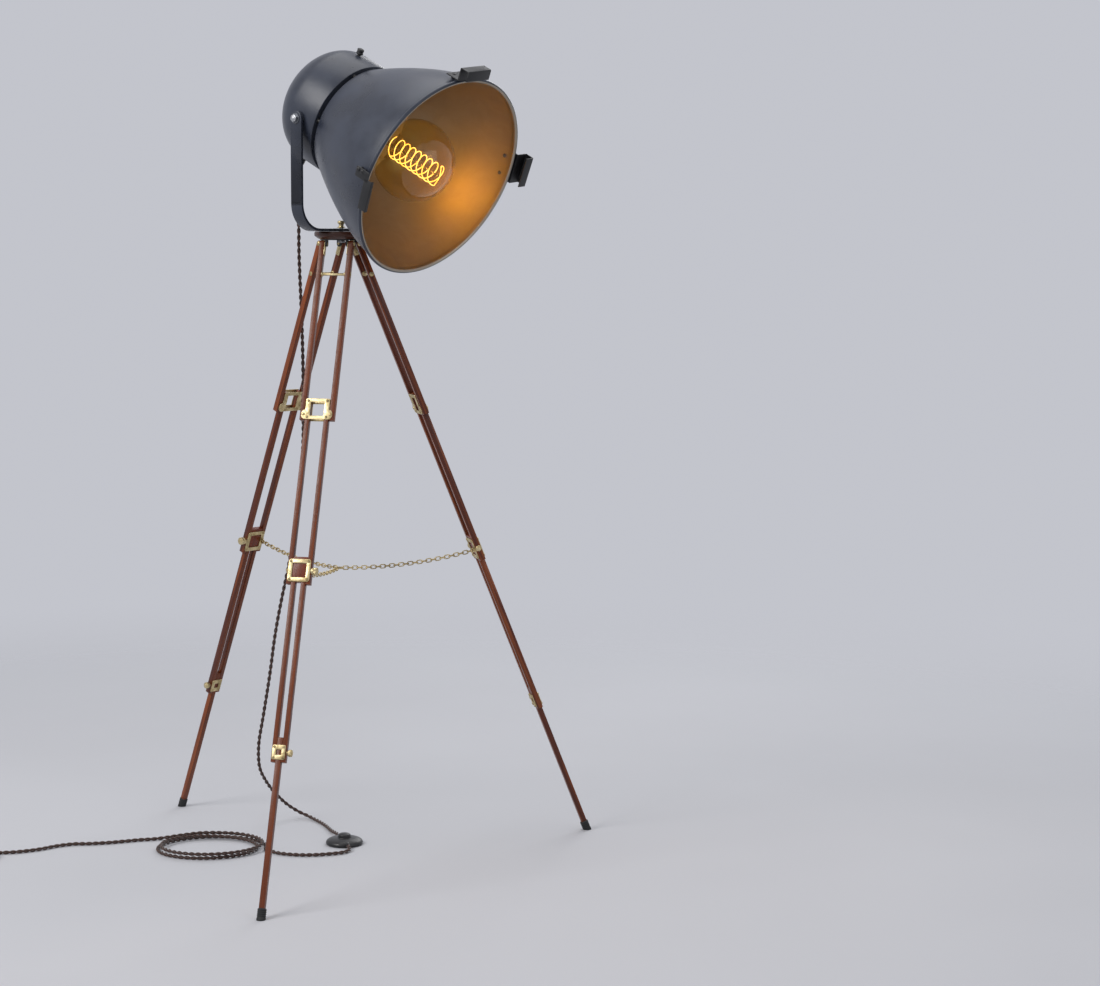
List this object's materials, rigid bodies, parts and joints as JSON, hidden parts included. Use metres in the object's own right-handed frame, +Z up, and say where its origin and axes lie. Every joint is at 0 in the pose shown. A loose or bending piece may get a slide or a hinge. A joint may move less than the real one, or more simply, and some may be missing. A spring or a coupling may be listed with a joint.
{
  "type": "floor lamp",
  "caption": "Tripod floor lamp: a film-light reflector head with an amber globe bulb on a yoke, over folding wooden legs with brass fittings.",
  "frame": {"origin": "middle of the lamp's footprint box, on the floor, without the free cord", "axes": "+Z up; -Y towards the picture's camera; +X to the picture's right"},
  "size_m": [1.327, 0.877, 1.5676],
  "materials": {
    "mahogany": "gloss varnish",
    "brass": "lacquered",
    "slate_paint": "fine hammered satin",
    "black_paint": "satin",
    "aluminium": "satin",
    "steel": "brushed",
    "ceramic": "glazed",
    "amber_glass": "clear amber",
    "filament": "glowing wire",
    "nickel": "nickel",
    "rubber": "matte",
    "black_plastic": "satin",
    "cord": "braided"
  },
  "bodies": {
    "crown": {"crown_disc": "mahogany", "crown_bracket": "black_paint", "hinge_pins": "brass", "pan_stud": "steel", "chain_ring": "brass", "left_chain": "brass", "front_chain": "brass", "right_chain": "brass", "cord_drop": "cord", "switch_base": "black_plastic", "cord_lead": "cord", "cord_loops": "cord", "cord_tail": "cord", "cord_coil": "cord", "plug": "black_plastic"},
    "yoke": {"yoke": "slate_paint", "cord_top": "cord"},
    "head": {"reflector_shell": "slate_paint", "rear_dome": "slate_paint", "back_plate": "aluminium", "vent_spacers": "black_paint", "lampholder": "ceramic", "bulb_glass": "amber_glass", "bulb_cap": "nickel", "bulb_filament": "filament", "frame_clips": "black_paint", "trunnion_bolts": "steel", "cord_gland": "black_plastic", "dome_knob": "black_paint"},
    "pan_knob": {"pan_knob": "brass"},
    "switch_button": {"switch_button": "black_plastic"},
    "left_leg": {"left_upper_bars": "mahogany", "left_brass": "brass", "left_middle_bars": "mahogany"},
    "left_lower_section": {"left_lower_bars": "mahogany", "left_lower_collar": "brass"},
    "left_bottom_section": {"left_bottom_bar": "mahogany", "left_foot": "rubber"},
    "left_clamp_screw": {"left_clamp_screw": "brass"},
    "left_thumb_screw": {"left_thumb_screw": "brass"},
    "front_leg": {"front_upper_bars": "mahogany", "front_brass": "brass", "front_middle_bars": "mahogany"},
    "front_lower_section": {"front_lower_bars": "mahogany", "front_lower_collar": "brass"},
    "front_bottom_section": {"front_bottom_bar": "mahogany", "front_foot": "rubber"},
    "front_clamp_screw": {"front_clamp_screw": "brass"},
    "front_thumb_screw": {"front_thumb_screw": "brass"},
    "right_leg": {"right_upper_bars": "mahogany", "right_brass": "brass", "right_middle_bars": "mahogany"},
    "right_lower_section": {"right_lower_bars": "mahogany", "right_lower_collar": "brass"},
    "right_bottom_section": {"right_bottom_bar": "mahogany", "right_foot": "rubber"},
    "right_clamp_screw": {"right_clamp_screw": "brass"},
    "right_thumb_screw": {"right_thumb_screw": "brass"}
  },
  "joints": [
    {"name": "pan", "type": "hinge", "parent": "crown", "child": "yoke", "pos_m": [-0.07515, 0.05668, 1.2201], "axis": [0, 0, 1], "range_deg": [-90, 90], "deforming": ["cord_drop"]},
    {"name": "tilt", "type": "hinge", "parent": "yoke", "child": "head", "pos_m": [-0.07515, 0.05668, 1.4316], "axis": [0.682, 0.7314, 0], "range_deg": [-75, 3], "deforming": ["cord_top"]},
    {"name": "pan_knob_turn", "type": "hinge", "parent": "crown", "child": "pan_knob", "pos_m": [-0.07515, 0.05668, 1.233], "axis": [0, 0, 1], "range_deg": [0, 360]},
    {"name": "switch_press", "type": "slide", "parent": "crown", "child": "switch_button", "axis": [0, 0, 1], "range_m": [-0.004, 0], "stiffness_N_per_m": 600},
    {"name": "left_leg_fold", "type": "hinge", "parent": "crown", "child": "left_leg", "pos_m": [-0.09419, 0.07721, 1.1965], "axis": [0.7331, 0.6801, 0], "range_deg": [-18, 0], "deforming": ["left_chain", "chain_ring", "cord_drop"]},
    {"name": "left_lower_slide", "type": "slide", "parent": "left_leg", "child": "left_lower_section", "axis": [0.2535, -0.2733, 0.9279], "range_m": [0, 0.285]},
    {"name": "left_bottom_slide", "type": "slide", "parent": "left_lower_section", "child": "left_bottom_section", "axis": [0.2535, -0.2733, 0.9279], "range_m": [0, 0.25]},
    {"name": "left_clamp_turn", "type": "hinge", "parent": "left_leg", "child": "left_clamp_screw", "pos_m": [-0.28073, 0.23418, 0.59428], "axis": [-0.7331, -0.6801, 0], "range_deg": [0, 360]},
    {"name": "left_thumb_turn", "type": "hinge", "parent": "left_lower_section", "child": "left_thumb_screw", "pos_m": [-0.3596, 0.33391, 0.27879], "axis": [-0.7331, -0.6801, 0], "range_deg": [0, 360]},
    {"name": "front_leg_fold", "type": "hinge", "parent": "crown", "child": "front_leg", "pos_m": [-0.08341, 0.02993, 1.1965], "axis": [-0.9555, 0.2949, 0], "range_deg": [-18, 0], "deforming": ["front_chain", "chain_ring"]},
    {"name": "front_lower_slide", "type": "slide", "parent": "front_leg", "child": "front_lower_section", "axis": [0.1099, 0.3562, 0.9279], "range_m": [0, 0.285]},
    {"name": "front_bottom_slide", "type": "slide", "parent": "front_lower_section", "child": "front_bottom_section", "axis": [0.1099, 0.3562, 0.9279], "range_m": [0, 0.25]},
    {"name": "front_clamp_turn", "type": "hinge", "parent": "front_leg", "child": "front_clamp_screw", "pos_m": [-0.12608, -0.21011, 0.59428], "axis": [0.9555, -0.2949, 0], "range_deg": [0, 360]},
    {"name": "front_thumb_turn", "type": "hinge", "parent": "front_lower_section", "child": "front_thumb_screw", "pos_m": [-0.17301, -0.32827, 0.27879], "axis": [0.9555, -0.2949, 0], "range_deg": [0, 360]},
    {"name": "right_leg_fold", "type": "hinge", "parent": "crown", "child": "right_leg", "pos_m": [-0.04785, 0.06291, 1.1965], "axis": [0.2224, -0.975, 0], "range_deg": [-18, 0], "deforming": ["right_chain", "chain_ring"]},
    {"name": "right_lower_slide", "type": "slide", "parent": "right_leg", "child": "right_lower_section", "axis": [-0.3635, -0.0829, 0.9279], "range_m": [0, 0.285]},
    {"name": "right_bottom_slide", "type": "slide", "parent": "right_lower_section", "child": "right_bottom_section", "axis": [-0.3635, -0.0829, 0.9279], "range_m": [0, 0.25]},
    {"name": "right_clamp_turn", "type": "hinge", "parent": "right_leg", "child": "right_clamp_screw", "pos_m": [0.18136, 0.14596, 0.59428], "axis": [-0.2224, 0.975, 0], "range_deg": [0, 360]},
    {"name": "right_thumb_turn", "type": "hinge", "parent": "right_lower_section", "child": "right_thumb_screw", "pos_m": [0.30716, 0.1644, 0.27879], "axis": [-0.2224, 0.975, 0], "range_deg": [0, 360]}
  ]
}
